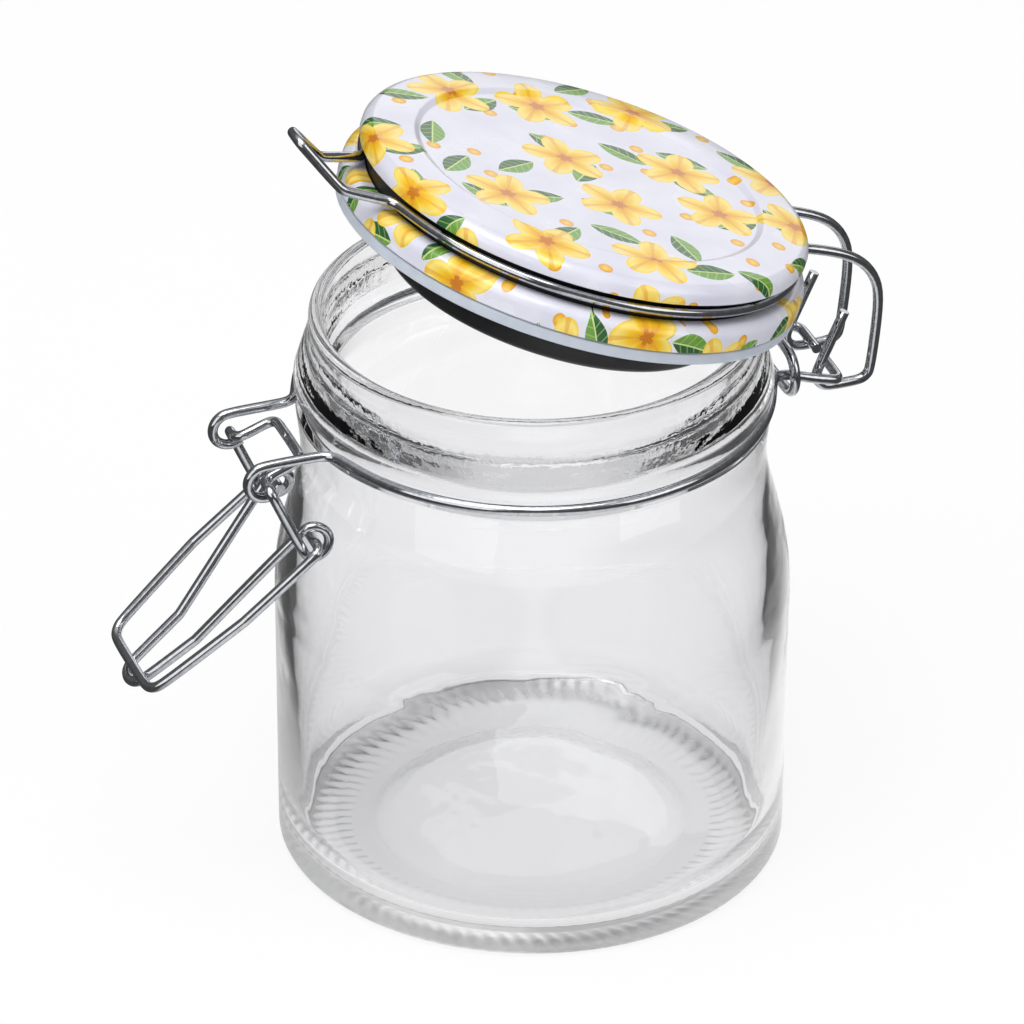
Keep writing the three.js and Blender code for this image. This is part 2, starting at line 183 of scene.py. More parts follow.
# %% [markdown]
# ## Glass jar
#
# The jar is pressed soda-lime glass. Its outside follows the mould exactly, and its inside is a little
# uneven, because air pushes the soft glass out against the mould. In the neck, where the glass sets first,
# it stays thick and swells inwards to a bead. The base has a shallow push-up inside a ring of slanting
# ridges, and the jar stands on the plain ring between those and its heel. The section is spun with six
# steps to a ridge, so the ridges and the ripples can be pressed into the same closed skin. A second solid
# for the ridges would leave a false surface inside the glass.

# %% Jar blank
RIDGES = 86
STEPS_PER_RIDGE = 6
LONGEST_EDGE = 3
JAR_SECTION = [
    (0, 1.5),
    (26.5, 1.4, 5),
    (31.5, 0.3, 5),
    (35, 0.02, 4),
    (49.4, 0, 1.6),
    (50, 61.5, 45),
    (44.4, 84.3, 25),
    (45.8, 95.775, 0.6),
    (44.4, 96.775, 0.6),
    (44.4, 99.225, 0.6),
    (46.1, 100.225, 0.6),
    (46.1, 101.625, 0.6),
    (43.2, 111.5, 6),
    (43.2, 115.7, 1.4),
    (40.6, 115.7, 1.2),
    (40.3, 106.5, 10),
    (37.5, 97.5, 8),
    (40.4, 84.3, 25),
    (46, 61.5, 45),
    (45.6, 11, 14),
    (44.2, 4.2, 5),
    (38, 2.9, 9),
    (30, 3.6, 16),
    (0, 4.1),
]

jar_glass = draw_section("jar_glass", JAR_SECTION)
divide_long_edges(jar_glass, LONGEST_EDGE)
spin_section(jar_glass, RIDGES * STEPS_PER_RIDGE)
describe(jar_glass)

# %% Ridges and ripples
RIDGE_INNER = 35.2 * MM
RIDGE_OUTER = 43.4 * MM
RIDGE_HEIGHT = 0.55 * MM
RIDGE_SLANT = math.radians(8)
FOOT_TOP = 0.4 * MM
RIPPLE = 0.05 * MM
RIPPLE_FROM, RIPPLE_FULL_FROM = 9, 17
RIPPLE_FULL_TO, RIPPLE_TO = 55, 70
INNER_WALL = 47 * MM


def ridge_rise(place):
    """How far the ring under the base is pressed up between its ridges."""
    radius = math.hypot(place.x, place.y)
    share = (radius - RIDGE_INNER) / (RIDGE_OUTER - RIDGE_INNER)
    if not 0 < share < 1:
        return 0
    angle = math.atan2(place.y, place.x) + RIDGE_SLANT * share
    return RIDGE_HEIGHT * math.sin(math.pi * share) ** 0.5 * (0.5 - 0.5 * math.cos(RIDGES * angle))


def wall_ripple(place):
    """How far the inner wall stands in or out at a place, fading out below the neck and above the floor."""
    height = place.z / MM
    rising = (height - RIPPLE_FROM) / (RIPPLE_FULL_FROM - RIPPLE_FROM)
    falling = (RIPPLE_TO - height) / (RIPPLE_TO - RIPPLE_FULL_TO)
    share = min(1, max(0, rising)) * min(1, max(0, falling))
    angle = math.atan2(place.y, place.x)
    waves = math.sin(5 * angle + height / 9) + math.sin(8 * angle - height / 6 + 1.3)
    waves += 0.3 * math.sin(13 * angle + 0.4) * math.sin(height / 7)
    return RIPPLE * share * waves


for vertex in jar_glass.data.vertices:
    place = vertex.co
    radius = math.hypot(place.x, place.y)
    if place.z < FOOT_TOP:
        place.z += ridge_rise(place)
    elif RIPPLE_FROM * MM < place.z < RIPPLE_TO * MM and radius < INNER_WALL:
        swell = 1 + wall_ripple(place) / radius
        place.x *= swell
        place.y *= swell
smooth_faces(jar_glass, 50)
describe(jar_glass)

# %% [markdown]
# ## Lid
#
# The lid is four turned pieces: a printed tin cover with a rolled edge and a pressed ridge, a black
# moulded core that makes the groove for the wire and the plug below it, a printed tin skirt, and a
# silicone gasket. They are drawn as for a closed lid, with heights from the foot of the gasket, and then
# swung about the hinge to the half-open pose of the frame. Swinging them as objects and applying the
# turn keeps each section upright while it is drawn.

# %% Lid sections
LID_STEPS = 144
COVER_SECTION = [
    (0, 14.9),
    (33.4, 14.9),
    (34.8, 15.7),
    (43.8, 14.7, 1.8),
    (43.8, 12.4),
    (42.9, 12.4),
    (42.9, 11.8),
    (44.4, 11.8, 0.6),
    (44.4, 15.3, 2.4),
    (34.8, 16.3, 1),
    (33.4, 15.5, 1),
    (0, 15.5),
]
CORE_SECTION = [
    (0, -4.1),
    (29.9, -4.1, 1),
    (29.9, -8.9, 0.8),
    (33.3, -8.9, 2),
    (35.8, -0.5, 1),
    (38.3, 5),
    (38.3, 7.1),
    (41.7, 7.1),
    (41.7, 12.7),
    (43.5, 12.7),
    (43.5, 14.4, 1.5),
    (34.8, 15.4),
    (33.4, 14.6),
    (0, 14.6),
]
SKIRT_SECTION = [
    (45.55, 2.65),
    (45.75, 2.65),
    (45.95, 2.85),
    (45.95, 7.5, 2.1),
    (42, 7.5),
    (42, 7.1),
    (45.55, 7.1, 1.7),
    (45.55, 2.65),
]
GASKET_SECTION = [
    (38.6, 5.3),
    (44.4, 5.3, 0.6),
    (44.4, 0, 0.3),
    (45.7, 0, 0.5),
    (45.7, 2.35, 0.4),
    (45.25, 2.35),
    (45.25, 6.8, 1.5),
    (38.6, 6.8),
    (38.6, 5.3),
]

lid_cover = draw_section("printed_cover", COVER_SECTION)
divide_long_edges(lid_cover, LONGEST_EDGE)
spin_section(lid_cover, LID_STEPS)
lid_core = draw_section("moulded_core", CORE_SECTION)
spin_section(lid_core, LID_STEPS)
lid_skirt = draw_section("printed_skirt", SKIRT_SECTION)
spin_section(lid_skirt, LID_STEPS)
lid_gasket = draw_section("sealing_ring", GASKET_SECTION)
spin_section(lid_gasket, LID_STEPS)
for piece in (lid_cover, lid_core, lid_skirt, lid_gasket):
    smooth_faces(piece, 35)
    describe(piece)

# %% [markdown]
# The print has to run over the rolled edge and down the skirt without smearing, so each vertex of the
# tin keeps its place on the flat sheet: its direction from the middle, at the distance measured along
# the section. The skirt starts where the cover's edge stops.

# %% Place on the flat sheet
EDGE_RADIUS = 42 * MM
COVER_TOP = 15.5 * MM
SKIRT_START = 50 * MM
SKIRT_TOP = 7.5 * MM


def keep_sheet_place(piece, run):
    """Stores each vertex's place on the flat sheet, from a function of its radius and height."""
    sheet = piece.data.attributes.new("sheet_place", "FLOAT_VECTOR", "POINT")
    for vertex, spot in zip(piece.data.vertices, sheet.data):
        radius = math.hypot(vertex.co.x, vertex.co.y)
        scale = run(radius, vertex.co.z) / radius if radius > 0 else 0
        spot.vector = (vertex.co.x * scale, vertex.co.y * scale, 0)


def run_on_cover(radius, height):
    """The way from the middle of the cover, out and then down its edge."""
    return radius + max(0, COVER_TOP - height) if radius > EDGE_RADIUS else radius


def run_on_skirt(_, height):
    """The way down the skirt, from where the cover's edge stops."""
    return SKIRT_START + SKIRT_TOP - height


keep_sheet_place(lid_cover, run_on_cover)
keep_sheet_place(lid_skirt, run_on_skirt)
print("Sheet places kept on", lid_cover.name, "and", lid_skirt.name)

# %% Swing the lid to its half-open pose
HINGE = Vector((58, 0, 99.5)) * MM
LID_CLOSED_HEIGHT = 110.7 * MM
LID_TILT = math.radians(17.5)

lid_place = (
    Matrix.Translation(HINGE)
    @ Matrix.Rotation(LID_TILT, 4, "Y")
    @ Matrix.Translation(Vector((0, 0, LID_CLOSED_HEIGHT)) - HINGE)
)
for piece in (lid_cover, lid_core, lid_skirt, lid_gasket):
    clear_selection()
    piece.select_set(True)
    bpy.context.view_layer.objects.active = piece
    piece.matrix_world = lid_place
    bpy.ops.object.transform_apply(location=True, rotation=True, scale=True)
    describe(piece)

# %% [markdown]
# ## Wires
#
# All the wires are 2.1 mm steel, bent cold. The frame's wires already have the right bends, but with
# eight flat sides. A fresh centre line could be drawn for each, yet a copy of the frame's own wire keeps
# every eye and loop where its neighbours need it. The copy is merged, its triangles are joined to
# quads, and a subdivision surface rounds it. That draws the sides in to nine tenths, so the copy is
# fattened first. The cut ends are creased to stay flat.

# %% Round wires
FATTEN = 0.085 * MM
SIDE_ANGLE = math.radians(40)
END_ANGLE = math.radians(70)
wire_bodies = {
    "neck_wire_right": "jar",
    "neck_wire_left": "jar",
    "rear_tie_link": "jar",
    "lever_wire": "lever",
    "catch_wire": "catch",
    "lid_wire": "lid_frame",
}


def round_wire(node_name):
    """A smooth copy of a wire of the frame."""
    clear_selection()
    piece = bpy.data.objects.new("round_" + node_name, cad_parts[node_name].data.copy())
    bpy.context.scene.collection.objects.link(piece)
    piece.select_set(True)
    bpy.context.view_layer.objects.active = piece
    bpy.ops.object.mode_set(mode="EDIT")
    bpy.ops.mesh.select_mode(type="EDGE")
    bpy.ops.mesh.select_all(action="SELECT")
    bpy.ops.mesh.remove_doubles(threshold=SAME_PLACE)
    bpy.ops.mesh.tris_convert_to_quads(face_threshold=SIDE_ANGLE, shape_threshold=math.pi)
    bpy.ops.transform.shrink_fatten(value=FATTEN)
    bpy.ops.mesh.select_all(action="DESELECT")
    bpy.ops.mesh.edges_select_sharp(sharpness=END_ANGLE)
    bpy.ops.transform.edge_crease(value=1)
    bpy.ops.object.mode_set(mode="OBJECT")
    bpy.ops.object.modifier_add(type="SUBSURF")
    piece.modifiers[0].levels = piece.modifiers[0].render_levels = 2
    bpy.ops.object.modifier_apply(modifier=piece.modifiers[0].name)
    smooth_faces(piece, 40)
    return piece


wires = {name: round_wire(name) for name in wire_bodies}
for piece in wires.values():
    describe(piece)

# %% [markdown]
# ## Materials
#
# Every finish is built from nodes, so that it keeps its grain at any size. One small function adds a
# node: its properties are given by name, and each of its inputs takes a value, another node or one of
# another node's outputs.

# %% Node helper
def node(tree, kind, inputs=None, **settings):
    """Adds a shader node with its settings and links."""
    made = tree.nodes.new("ShaderNode" + kind)
    for name, value in settings.items():
        setattr(made, name, value)
    for key, source in (inputs or {}).items():
        named = [socket for socket in made.inputs if socket.enabled and socket.name == key]
        target = named[0] if named else made.inputs[key]
        if isinstance(source, bpy.types.Node):
            source = next(socket for socket in source.outputs if socket.enabled)
        if isinstance(source, bpy.types.NodeSocket):
            tree.links.new(source, target)
        else:
            target.default_value = source
    return made


def start_material(name):
    """A new material and its emptied node tree."""
    material = bpy.data.materials.new(name)
    material.use_nodes = True
    material.node_tree.nodes.clear()
    return material, material.node_tree


def per_mm(size):
    """The texture scale that gives a pattern of that size in millimetres."""
    return 1 / (size * MM)


print("Scale of a 2 mm pattern:", per_mm(2))

# %% [markdown]
# ### Glass
#
# Clear soda-lime glass bends light with an IOR of 1.52. Seen against white it is almost invisible, and
# only its edges, its base and its neck show, where light is turned inside the wall and comes from the
# darker parts of the studio. The pressed skin is not quite flat, so a slow bump of about 9 mm makes the
# streaks wander. The neck is chilled by the mould and sets uneven: a stronger bump, about 3 mm wide and
# 4 mm tall, breaks its streaks into patches. Under the base the glass is rubbed dull where it stands, so
# the foot is a little frosted and passes light softly.

# %% Pressed clear glass
SWIRL_SIZE = 9
CHILL_WIDTH, CHILL_HEIGHT = 3, 4
NECK_FROM, NECK_FULL_FROM = 100 * MM, 103 * MM
NECK_FULL_TO, NECK_TO = 109 * MM, 113 * MM
FROST = 0.28
FROST_FULL_TO, FROST_TO = 0.6 * MM, 1.2 * MM
FROST_RADIUS, CLEAR_RADIUS = 47 * MM, 48.8 * MM

glass, tree = start_material("pressed_soda_lime_glass")
place = node(tree, "TexCoord").outputs["Object"]
swirl = node(
    tree, "TexNoise", {"Vector": place, "Scale": per_mm(SWIRL_SIZE), "Detail": 1.5, "Roughness": 0.4}
)
skin = node(tree, "Bump", {"Strength": 0.12, "Distance": 0.4 * MM, "Height": swirl})
height = node(tree, "SeparateXYZ", {"Vector": place}).outputs["Z"]
above_groove = node(tree, "MapRange", {"Value": height, "From Min": NECK_FROM, "From Max": NECK_FULL_FROM})
below_lip = node(tree, "MapRange", {"Value": height, "From Min": NECK_TO, "From Max": NECK_FULL_TO})
neck = node(tree, "Math", {0: above_groove, 1: below_lip}, operation="MULTIPLY")
chill_scale = (per_mm(CHILL_WIDTH), per_mm(CHILL_WIDTH), per_mm(CHILL_HEIGHT))
drawn_out = node(tree, "Mapping", {"Vector": place, "Scale": chill_scale})
chill = node(tree, "TexNoise", {"Vector": drawn_out, "Scale": 1.0, "Detail": 2.5, "Roughness": 0.6})
chilled = node(tree, "Math", {0: chill, 1: neck}, operation="MULTIPLY")
chill_skin = node(
    tree, "Bump", {"Strength": 0.2, "Distance": 0.5 * MM, "Height": chilled, "Normal": skin}
)
smear = node(
    tree,
    "MapRange",
    {"Value": swirl, "From Min": 0.3, "From Max": 0.7, "To Min": 0.0, "To Max": 0.015},
)
foot = node(
    tree,
    "MapRange",
    {"Value": height, "From Min": FROST_FULL_TO, "From Max": FROST_TO, "To Min": FROST, "To Max": 0.0},
)
from_axis = node(tree, "VectorMath", {0: place}, operation="LENGTH").outputs["Value"]
inside_heel = node(
    tree, "MapRange", {"Value": from_axis, "From Min": CLEAR_RADIUS, "From Max": FROST_RADIUS}
)
frost = node(tree, "Math", {0: foot, 1: inside_heel, 2: smear}, operation="MULTIPLY_ADD")
shader = node(
    tree,
    "BsdfPrincipled",
    {
        "Base Color": from_hex("#F8F8F9"),
        "Roughness": frost,
        "IOR": 1.52,
        "Transmission Weight": 1.0,
        "Normal": chill_skin,
    },
)
node(tree, "OutputMaterial", {"Surface": shader})
print("Made", glass.name)

# %% [markdown]
# ### Steel wire
#
# Bright drawn steel: the die leaves it nearly mirror smooth, with faint mottling from the drawing soap
# and handling. The mottling is about 0.9 mm across, drawn coarser than real so that it shows.

# %% Bright drawn steel
steel, tree = start_material("bright_drawn_steel")
place = node(tree, "TexCoord").outputs["Object"]
mottle = node(tree, "TexNoise", {"Vector": place, "Scale": per_mm(0.9), "Detail": 3})
tone = node(tree, "ValToRGB", {"Fac": mottle})
tone.color_ramp.elements[0].position = 0.3
tone.color_ramp.elements[0].color = from_hex("#B4B6BA")
tone.color_ramp.elements[1].position = 0.7
tone.color_ramp.elements[1].color = from_hex("#D0D2D6")
haze = node(
    tree,
    "MapRange",
    {"Value": mottle, "From Min": 0.3, "From Max": 0.7, "To Min": 0.07, "To Max": 0.16},
)
grain = node(tree, "Bump", {"Strength": 0.04, "Distance": 0.04 * MM, "Height": mottle})
shader = node(
    tree,
    "BsdfPrincipled",
    {"Base Color": tone, "Metallic": 1.0, "Roughness": haze, "Normal": grain},
)
node(tree, "OutputMaterial", {"Surface": shader})
print("Made", steel.name)

# %% [markdown]
# ### Black plastic
#
# The core is moulded polypropylene: black, with the soft sheen of a fine spark-eroded mould.

# %% Moulded black polypropylene
black, tree = start_material("moulded_black_polypropylene")
place = node(tree, "TexCoord").outputs["Object"]
grit = node(tree, "TexNoise", {"Vector": place, "Scale": per_mm(0.5), "Detail": 2})
tone = node(tree, "ValToRGB", {"Fac": grit})
tone.color_ramp.elements[0].color = from_hex("#0E0E10")
tone.color_ramp.elements[1].color = from_hex("#1E1E21")
sheen = node(
    tree,
    "MapRange",
    {"Value": grit, "From Min": 0.3, "From Max": 0.7, "To Min": 0.34, "To Max": 0.46},
)
texture = node(tree, "Bump", {"Strength": 0.15, "Distance": 0.05 * MM, "Height": grit})
shader = node(tree, "BsdfPrincipled", {"Base Color": tone, "Roughness": sheen, "Normal": texture})
node(tree, "OutputMaterial", {"Surface": shader})
print("Made", black.name)

# %% [markdown]
# ### Silicone
#
# The gasket is moulded silicone: milky, faintly blue, and soft to the light, which enters it and comes
# out again a little way off. A trace of dust mottles its sheen.

# %% Moulded silicone
silicone, tree = start_material("moulded_milky_silicone")
place = node(tree, "TexCoord").outputs["Object"]
cloud = node(tree, "TexNoise", {"Vector": place, "Scale": per_mm(3), "Detail": 3})
tone = node(tree, "ValToRGB", {"Fac": cloud})
tone.color_ramp.elements[0].color = from_hex("#BCC5D2")
tone.color_ramp.elements[1].color = from_hex("#D2D8E2")
sheen = node(
    tree,
    "MapRange",
    {"Value": cloud, "From Min": 0.3, "From Max": 0.7, "To Min": 0.3, "To Max": 0.45},
)
shader = node(
    tree,
    "BsdfPrincipled",
    {
        "Base Color": tone,
        "Roughness": sheen,
        "Subsurface Weight": 0.4,
        "Subsurface Radius": (1.0, 1.0, 1.2),
        "Subsurface Scale": 1.5 * MM,
    },
)
node(tree, "OutputMaterial", {"Surface": shader})
print("Made", silicone.name)

# %% [markdown]
# ### Printed tin
#
# The tin is coated white with a breath of lilac, printed in yellows and greens, and lacquered. The print
# is a plain all-over pattern of open blossoms, leaves and berries. Each kind is scattered by the cells
# of a Voronoi texture on the flat sheet: a cell gives a middle, a random turn and a chance of staying
# empty, and the shape is drawn round the middle with a little geometry.

# %% Print: a scatter of cells
tin, tree = start_material("lacquered_printed_tin")
sheet = node(tree, "Attribute", attribute_name="sheet_place").outputs["Vector"]


def scatter(pitch, shift, looseness):
    """Cells of a pitch in millimetres: the place in a cell, turned at random, and a random colour."""
    scale = (per_mm(pitch), per_mm(pitch), 1)
    spread = node(tree, "Mapping", {"Vector": sheet, "Location": shift, "Scale": scale})
    cells = node(
        tree,
        "TexVoronoi",
        {"Vector": spread, "Scale": 1.0, "Randomness": looseness},
        voronoi_dimensions="2D",
    )
    middle = node(
        tree, "VectorMath", {0: spread, 1: cells.outputs["Position"]}, operation="SUBTRACT"
    )
    chance = node(tree, "SeparateColor", {"Color": cells.outputs["Color"]})
    turn = node(tree, "Math", {0: chance.outputs["Red"], 1: 2 * math.pi}, operation="MULTIPLY")
    turned = node(tree, "VectorRotate", {"Vector": middle, "Angle": turn}, rotation_type="Z_AXIS")
    axes = node(tree, "SeparateXYZ", {"Vector": turned})
    return axes.outputs["X"], axes.outputs["Y"], cells.outputs["Distance"], chance


print("Scatter ready for", tin.name)

# %% [markdown]
# Inside a cell all lengths are shares of the cell's pitch. A leaf is two bows, darker on one half, with a
# pale vein and slanting ribs.

# %% Print: leaves
LEAF_PITCH = 13
LEAF_HALF_LENGTH = 0.42
LEAF_HALF_WIDTH = 0.19
LEAF_CHANCE = 0.78
RIB_TURNS = 42.0
RIB_SLANT = -30.0
VEIN_HALF_WIDTH = 0.012

along, across, _, chance = scatter(LEAF_PITCH, (0.3, 0.1, 0), 0.35)
side = node(tree, "Math", {0: across}, operation="ABSOLUTE")
share = node(tree, "Math", {0: along, 1: LEAF_HALF_LENGTH}, operation="DIVIDE")
bow = node(tree, "Math", {0: share, 1: share}, operation="MULTIPLY")
width = node(tree, "Math", {0: bow, 1: -LEAF_HALF_WIDTH, 2: LEAF_HALF_WIDTH}, operation="MULTIPLY_ADD")
inside = node(tree, "Math", {0: side, 1: width}, operation="LESS_THAN")
grown = node(tree, "Math", {0: chance.outputs["Green"], 1: LEAF_CHANCE}, operation="LESS_THAN")
leaf_mask = node(tree, "Math", {0: inside, 1: grown}, operation="MULTIPLY")
half = node(tree, "Math", {0: across, 1: 0.0}, operation="GREATER_THAN")
leaf_half = node(
    tree,
    "Mix",
    {"Factor": half, "A": from_hex("#2C6233"), "B": from_hex("#6C9E3F")},
    data_type="RGBA",
)
ribs = node(tree, "Math", {0: along, 1: RIB_TURNS}, operation="MULTIPLY")
slant = node(tree, "Math", {0: side, 1: RIB_SLANT, 2: ribs}, operation="MULTIPLY_ADD")
wave = node(tree, "Math", {0: slant}, operation="SINE")
rib = node(tree, "Math", {0: wave, 1: 0.86}, operation="GREATER_THAN")
vein = node(tree, "Math", {0: side, 1: VEIN_HALF_WIDTH}, operation="LESS_THAN")
line = node(tree, "Math", {0: rib, 1: 0.35, 2: vein}, operation="MULTIPLY_ADD", use_clamp=True)
leaf_colour = node(
    tree,
    "Mix",
    {"Factor": line, "A": leaf_half, "B": from_hex("#C9DC8C")},
    data_type="RGBA",
)
print("Leaves of", round(2 * LEAF_PITCH * LEAF_HALF_LENGTH, 1), "mm")

# %% Print: berries
BERRY_PITCH = 9
BERRY_RADIUS = 0.16
BERRY_CHANCE = 0.45

_, _, distance, chance = scatter(BERRY_PITCH, (0.6, 0.45, 0), 0.4)
inside = node(tree, "Math", {0: distance, 1: BERRY_RADIUS}, operation="LESS_THAN")
grown = node(tree, "Math", {0: chance.outputs["Green"], 1: BERRY_CHANCE}, operation="LESS_THAN")
berry_mask = node(tree, "Math", {0: inside, 1: grown}, operation="MULTIPLY")
rim = node(tree, "Math", {0: distance, 1: 6.0}, operation="MULTIPLY")
berry_colour = node(
    tree,
    "Mix",
    {"Factor": rim, "A": from_hex("#F9D75A"), "B": from_hex("#E39A1E")},
    data_type="RGBA",
)
print("Berries of", round(2 * BERRY_PITCH * BERRY_RADIUS, 1), "mm")

# %% Print: blossoms
BLOSSOM_PITCH = 21
PETALS = 5
PETAL_FOOT = 0.22
PETAL_REACH = 0.19
BLOSSOM_CHANCE = 0.85

along, across, distance, chance = scatter(BLOSSOM_PITCH, (0.15, 0.7, 0), 0.3)
angle = node(tree, "Math", {0: across, 1: along}, operation="ARCTAN2")
turns = node(tree, "Math", {0: angle, 1: PETALS / 2}, operation="MULTIPLY")
lobes = node(tree, "Math", {0: turns}, operation="COSINE")
lobe = node(tree, "Math", {0: lobes}, operation="ABSOLUTE")
reach = node(tree, "Math", {0: lobe, 1: PETAL_REACH, 2: PETAL_FOOT}, operation="MULTIPLY_ADD")
inside = node(tree, "Math", {0: distance, 1: reach}, operation="LESS_THAN")
grown = node(tree, "Math", {0: chance.outputs["Green"], 1: BLOSSOM_CHANCE}, operation="LESS_THAN")
blossom_mask = node(tree, "Math", {0: inside, 1: grown}, operation="MULTIPLY")
share = node(tree, "Math", {0: distance, 1: reach}, operation="DIVIDE")
petal = node(tree, "ValToRGB", {"Fac": share})
petal.color_ramp.elements[0].position = 0.18
petal.color_ramp.elements[0].color = from_hex("#C9761B")
petal.color_ramp.elements[1].position = 1.0
petal.color_ramp.elements[1].color = from_hex("#F6D23C")
for position, colour in ((0.22, "#E8A51C"), (0.5, "#F5C722"), (0.85, "#FBE27A")):
    petal.color_ramp.elements.new(position).color = from_hex(colour)
crease = node(tree, "Math", {0: lobe, 1: 0.985}, operation="GREATER_THAN")
crease_ink = node(tree, "Math", {0: crease, 1: 0.5}, operation="MULTIPLY")
blossom_colour = node(
    tree,
    "Mix",
    {"Factor": crease_ink, "A": petal, "B": from_hex("#E39A1E")},
    data_type="RGBA",
)
print("Blossoms of", round(2 * BLOSSOM_PITCH * (PETAL_FOOT + PETAL_REACH), 1), "mm")

# %% Print: lay the colours on the coated sheet
coat = node(tree, "TexNoise", {"Vector": sheet, "Scale": per_mm(14), "Detail": 2})
ground = node(tree, "ValToRGB", {"Fac": coat})
ground.color_ramp.elements[0].position = 0.35
ground.color_ramp.elements[0].color = from_hex("#DADAE9")
ground.color_ramp.elements[1].position = 0.65
ground.color_ramp.elements[1].color = from_hex("#E6E6F1")
printed = ground
inks = [(berry_mask, berry_colour), (leaf_mask, leaf_colour), (blossom_mask, blossom_colour)]
for mask, colour in inks:
    printed = node(tree, "Mix", {"Factor": mask, "A": printed, "B": colour}, data_type="RGBA")
flow = node(tree, "TexNoise", {"Vector": sheet, "Scale": per_mm(2), "Detail": 2})
orange_peel = node(tree, "Bump", {"Strength": 0.05, "Distance": 0.05 * MM, "Height": flow})
gloss = node(
    tree,
    "MapRange",
    {"Value": coat, "From Min": 0.3, "From Max": 0.7, "To Min": 0.2, "To Max": 0.3},
)
shader = node(
    tree,
    "BsdfPrincipled",
    {
        "Base Color": printed,
        "Roughness": gloss,
        "Coat Weight": 0.4,
        "Coat Roughness": 0.08,
        "Normal": orange_peel,
    },
)
node(tree, "OutputMaterial", {"Surface": shader})
print("Made", tin.name, "with", len(tree.nodes), "nodes")

# %% [markdown]
# ## Finish and carry each piece
#
# Each piece takes its finish, stands for its solid in the frame and rides on the body that moves it.

# %% Dress the pieces
dressing = [
    (jar_glass, "glass_jar", "jar", glass, "glass"),
    (lid_cover, "lid_cover", "lid", tin, "printed_tin"),
    (lid_core, "lid_core", "lid", black, "black_plastic"),
    (lid_skirt, "lid_skirt", "lid", tin, "printed_tin"),
    (lid_gasket, "gasket", "lid", silicone, "silicone"),
]
dressing += [(wires[name], name, body, steel, "steel_wire") for name, body in wire_bodies.items()]
for piece, node_name, body, material, slot in dressing:
    piece.data.materials.clear()
    piece.data.materials.append(material)
    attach(piece, body)
    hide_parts(node_name)
print("Dressed", len(dressing), "pieces")

# %% [markdown]
# ## Studio
#
# The jar stands on a plain white sweep in soft light. White paper lit to pure white would wash out the
# lid, so the sweep adds its own white only for what the camera sees directly, in metal and through
# glass, and keeps a soft shadow. Clear glass needs something dark at its sides to show its edges, as
# black cards beside it do in a studio. Cards would show in the picture and shade the lid, so the sweep
# does their work: light that was turned inside the glass or by metal finds it white only in a strip
# under the jar and behind it. Light that goes straight through finds it white all round, except under
# the jar's foot. There a painted shadow dims the glow for all light that the camera does not see directly.

# %% White sweep
VIEW_ACROSS = (0.939, -0.344, 0)
VIEW_ALONG = (0.344, 0.939, 0)
SWEEP_SIZE = 8
SWEEP_HEIGHT = -0.2 * MM
STRIP_MIDDLE = 14 * MM
STRIP_HALF_WIDTH, DARK_FROM = 42 * MM, 105 * MM
STRIP_HALF_LENGTH, DIM_FROM = 300 * MM, 900 * MM
DARK = 0.06
DIM = 0.3
# Level of the painted shadow that dims the sweep's glow under the jar's foot.
PAINTED_SHADOW_LEVEL = 0.78
GLOW_SEEN = 0.86
GLOW_BENT = 0.97


def fade(tree, value, near, far, darkest):
    """A grey that is white up to a value and falls to its darkest at another."""
    return node(
        tree,
        "MapRange",
        {"Value": value, "From Min": near, "From Max": far, "To Min": 1.0, "To Max": darkest},
    )


def off_axis(tree, place, axis, middle):
    """How far a place lies to either side of a middle along an axis."""
    reach = node(tree, "VectorMath", {0: place, 1: axis}, operation="DOT_PRODUCT").outputs["Value"]
    shifted = node(tree, "Math", {0: reach, 1: middle}, operation="SUBTRACT")
    return node(tree, "Math", {0: shifted}, operation="ABSOLUTE")


def was_turned(tree, path):
    """Whether light was reflected on its way, by metal or inside glass."""
    return node(tree, "Math", {0: path.outputs["Glossy Depth"], 1: 0.5}, operation="GREATER_THAN")


clear_selection()
bpy.ops.mesh.primitive_plane_add(size=SWEEP_SIZE, location=(0, 0, SWEEP_HEIGHT))
sweep = bpy.context.object
sweep.name = "white_sweep"
paper, tree = start_material("white_paper_sweep")
place = node(tree, "TexCoord").outputs["Object"]
aside = off_axis(tree, place, VIEW_ACROSS, STRIP_MIDDLE)
away = off_axis(tree, place, VIEW_ALONG, 0.0)
beside = fade(tree, aside, STRIP_HALF_WIDTH, DARK_FROM, DARK)
behind = fade(tree, away, STRIP_HALF_LENGTH, DIM_FROM, DIM)
strip = node(tree, "Math", {0: beside, 1: behind}, operation="MULTIPLY")
from_axis = node(tree, "VectorMath", {0: place}, operation="LENGTH").outputs["Value"]
# Painted shadow under the jar: for light seen through the glass or in metal, the glow falls from full at 60
# mm from the axis to 0.78 at 40 mm.
painted_shadow_under_jar = node(
    tree,
    "MapRange",
    {"Value": from_axis, "From Min": 40 * MM, "From Max": 60 * MM, "To Min": PAINTED_SHADOW_LEVEL, "To Max": 1.0},
)
path = node(tree, "LightPath")
seen = node(tree, "Mix", {"Factor": was_turned(tree, path), "A": 1.0, "B": strip}, data_type="FLOAT")
lit = node(tree, "Math", {0: seen, 1: painted_shadow_under_jar}, operation="MULTIPLY")
fibre = node(tree, "TexNoise", {"Vector": place, "Scale": per_mm(30)})
tone = node(tree, "ValToRGB", {"Fac": fibre})
tone.color_ramp.elements[0].color = from_hex("#F8F8F8")
tone.color_ramp.elements[1].color = from_hex("#FCFCFC")
matt = node(tree, "BsdfDiffuse", {"Color": tone})
light = node(
    tree, "Mix", {"Factor": path.outputs["Is Camera Ray"], "A": lit, "B": 1.0}, data_type="FLOAT"
)
glow = node(tree, "Emission", {"Color": from_hex("#FFFFFF"), "Strength": light})
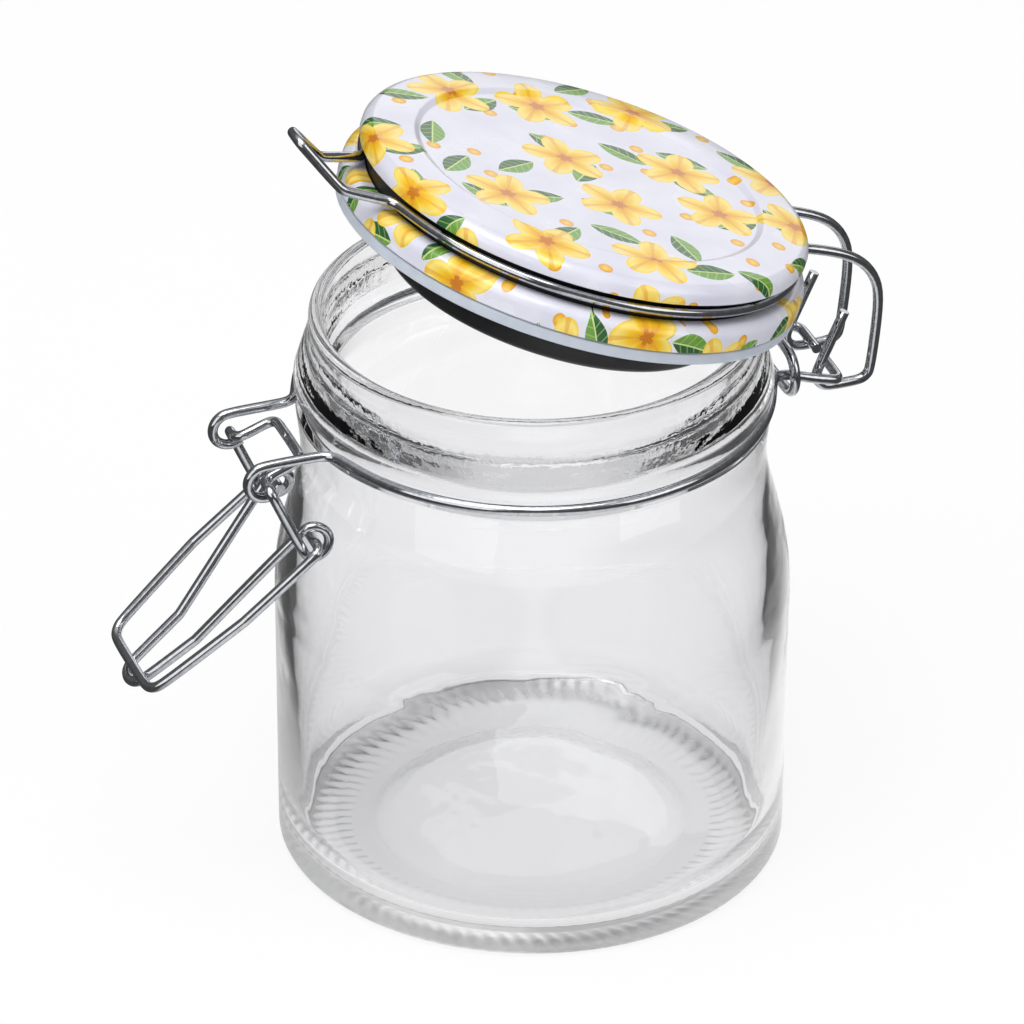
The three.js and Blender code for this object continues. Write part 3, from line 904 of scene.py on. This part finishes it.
bent = node(
    tree,
    "Math",
    {0: path.outputs["Is Glossy Ray"], 1: path.outputs["Is Transmission Ray"]},
    operation="ADD",
)
straight = node(tree, "Math", {0: path.outputs["Is Camera Ray"], 1: GLOW_SEEN}, operation="MULTIPLY")
share = node(tree, "Math", {0: bent, 1: GLOW_BENT, 2: straight}, operation="MULTIPLY_ADD", use_clamp=True)
mixed = node(tree, "MixShader", {0: share, 1: matt, 2: glow})
node(tree, "OutputMaterial", {"Surface": mixed})
sweep.data.materials.append(paper)
print("Sweep of", list(sweep.dimensions), "m")

# %% [markdown]
# Round the sweep the studio is grey, so that the wires have dark sides, and light overhead, for the sheen
# on the lid. Behind the glass it is as white as the sweep.

# %% Grey studio
HORIZON = 0.12
SHOULDER = 0.14
OVERHEAD = 0.8
TURNED = 0.7
STRAIGHT = 0.97


def grey(level):
    """A linear grey."""
    return (level, level, level, 1.0)


world = bpy.data.worlds.new("grey_studio")
world.use_nodes = True
bpy.context.scene.world = world
tree = world.node_tree
tree.nodes.clear()
direction = node(tree, "TexCoord").outputs["Generated"]
height = node(tree, "SeparateXYZ", {"Vector": direction}).outputs["Z"]
dome = node(tree, "ValToRGB", {"Fac": height})
dome.color_ramp.elements[0].position = 0.0
dome.color_ramp.elements[0].color = grey(HORIZON)
dome.color_ramp.elements[1].position = 0.95
dome.color_ramp.elements[1].color = grey(OVERHEAD)
dome.color_ramp.elements.new(0.6).color = grey(SHOULDER)
path = node(tree, "LightPath")
behind = node(
    tree,
    "Mix",
    {"Factor": was_turned(tree, path), "A": grey(STRAIGHT), "B": grey(TURNED)},
    data_type="RGBA",
)
through = node(
    tree,
    "Mix",
    {"Factor": path.outputs["Is Transmission Ray"], "A": dome, "B": behind},
    data_type="RGBA",
)
backdrop = node(
    tree,
    "Mix",
    {"Factor": path.outputs["Is Camera Ray"], "A": through, "B": grey(1.0)},
    data_type="RGBA",
)
surround = node(tree, "Background", {"Color": backdrop, "Strength": 1.0})
node(tree, "OutputWorld", {"Surface": surround})
print("Studio round the sweep:", world.name)

# %% [markdown]
# Four soft boxes light the jar: a wide one overhead, two at the sides and a small one behind. Their sizes
# are in metres, and together they light a surface so that its colour shows about as it is written.

# %% Soft boxes
AIM = Vector((0, 0, 0.1))
soft_boxes = {
    "top_box": ((-0.3, -0.3, 1.7), 1.2, 16.5),
    "left_box": ((-1.5, -0.9, 0.9), 1.5, 9),
    "right_box": ((1.2, -1.4, 1.1), 1.3, 8),
    "back_box": ((0.75, 1.12, 0.52), 0.7, 1.6),
}
for name, (spot, size, watts) in soft_boxes.items():
    lamp = bpy.data.lights.new(name, "AREA")
    lamp.shape = "SQUARE"
    lamp.size = size
    lamp.energy = watts
    box = bpy.data.objects.new(name, lamp)
    box.location = spot
    box.rotation_euler = (AIM - Vector(spot)).to_track_quat("-Z", "Y").to_euler()
    box.visible_camera = False
    bpy.context.scene.collection.objects.link(box)
bpy.context.scene.view_settings.view_transform = "Standard"
print("Soft boxes:", list(soft_boxes))

# %% [markdown]
# Thick glass hands light on inside itself from wall to wall before it lets it out. A path that is cut
# short there turns into a black band, so each one may turn often.

# %% Bounces
bpy.context.scene.cycles.glossy_bounces = 16
bpy.context.scene.cycles.transmission_bounces = 16
bpy.context.scene.cycles.max_bounces = 24
print("Bounces of a light path:", bpy.context.scene.cycles.max_bounces)
